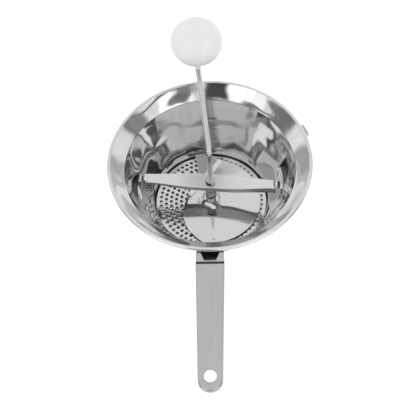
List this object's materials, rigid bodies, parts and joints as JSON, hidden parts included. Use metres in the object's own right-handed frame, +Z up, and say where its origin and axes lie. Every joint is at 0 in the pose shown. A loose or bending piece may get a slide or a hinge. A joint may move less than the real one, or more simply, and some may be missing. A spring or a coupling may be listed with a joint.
{
  "type": "rotary food mill",
  "caption": "Flared steel bowl on a perforated disc, with a strap handle, a locking crossbar and a spring-loaded blade turned by a bent crank with a round knob.",
  "frame": {"origin": "centre of the bowl's bottom lip, on the plane that the lip rests on", "axes": "+Z up along the bowl's axis, -Y along the handle, +X to the right seen from the handle"},
  "size_m": [0.205, 0.3475, 0.1852],
  "materials": {
    "polished_steel": "mirror polished",
    "satin_steel": "satin brushed",
    "spring_steel": "drawn wire",
    "white_plastic": "smooth moulded"
  },
  "bodies": {
    "bowl_body": {"bowl": "polished_steel", "handle": "satin_steel", "hook_right": "satin_steel", "hook_rear": "satin_steel", "strainer_disc": "polished_steel"},
    "bar_body": {"crossbar": "polished_steel", "bar_bush": "polished_steel", "upper_washer": "satin_steel", "spring": "spring_steel"},
    "float_body": {"lower_washer": "satin_steel"},
    "crank_body": {"crank_rod": "polished_steel", "stop_clip": "satin_steel", "blade": "polished_steel", "blade_hub": "polished_steel", "hub_pin": "satin_steel", "knob_washer": "satin_steel", "knob_retainer": "spring_steel"},
    "knob_body": {"knob": "white_plastic", "knob_bush": "satin_steel"}
  },
  "joints": [
    {"name": "bar_lock", "type": "hinge", "parent": "bowl_body", "child": "bar_body", "pos_m": [0, 0, 0.043], "axis": [0, 0, 1], "range_deg": [0, 14]},
    {"name": "blade_float", "type": "slide", "parent": "bar_body", "child": "float_body", "axis": [0, 0, 1], "range_m": [0, 0.0035], "stiffness_N_per_m": 1500, "springref_m": -0.008, "deforming": ["spring"]},
    {"name": "crank_turn", "type": "hinge", "parent": "float_body", "child": "crank_body", "pos_m": [0, 0, 0.02], "axis": [0, 0, 1], "continuous": true},
    {"name": "knob_spin", "type": "hinge", "parent": "crank_body", "child": "knob_body", "pos_m": [-0.01057, 0.08031, 0.145], "axis": [0, 0, 1], "continuous": true}
  ]
}
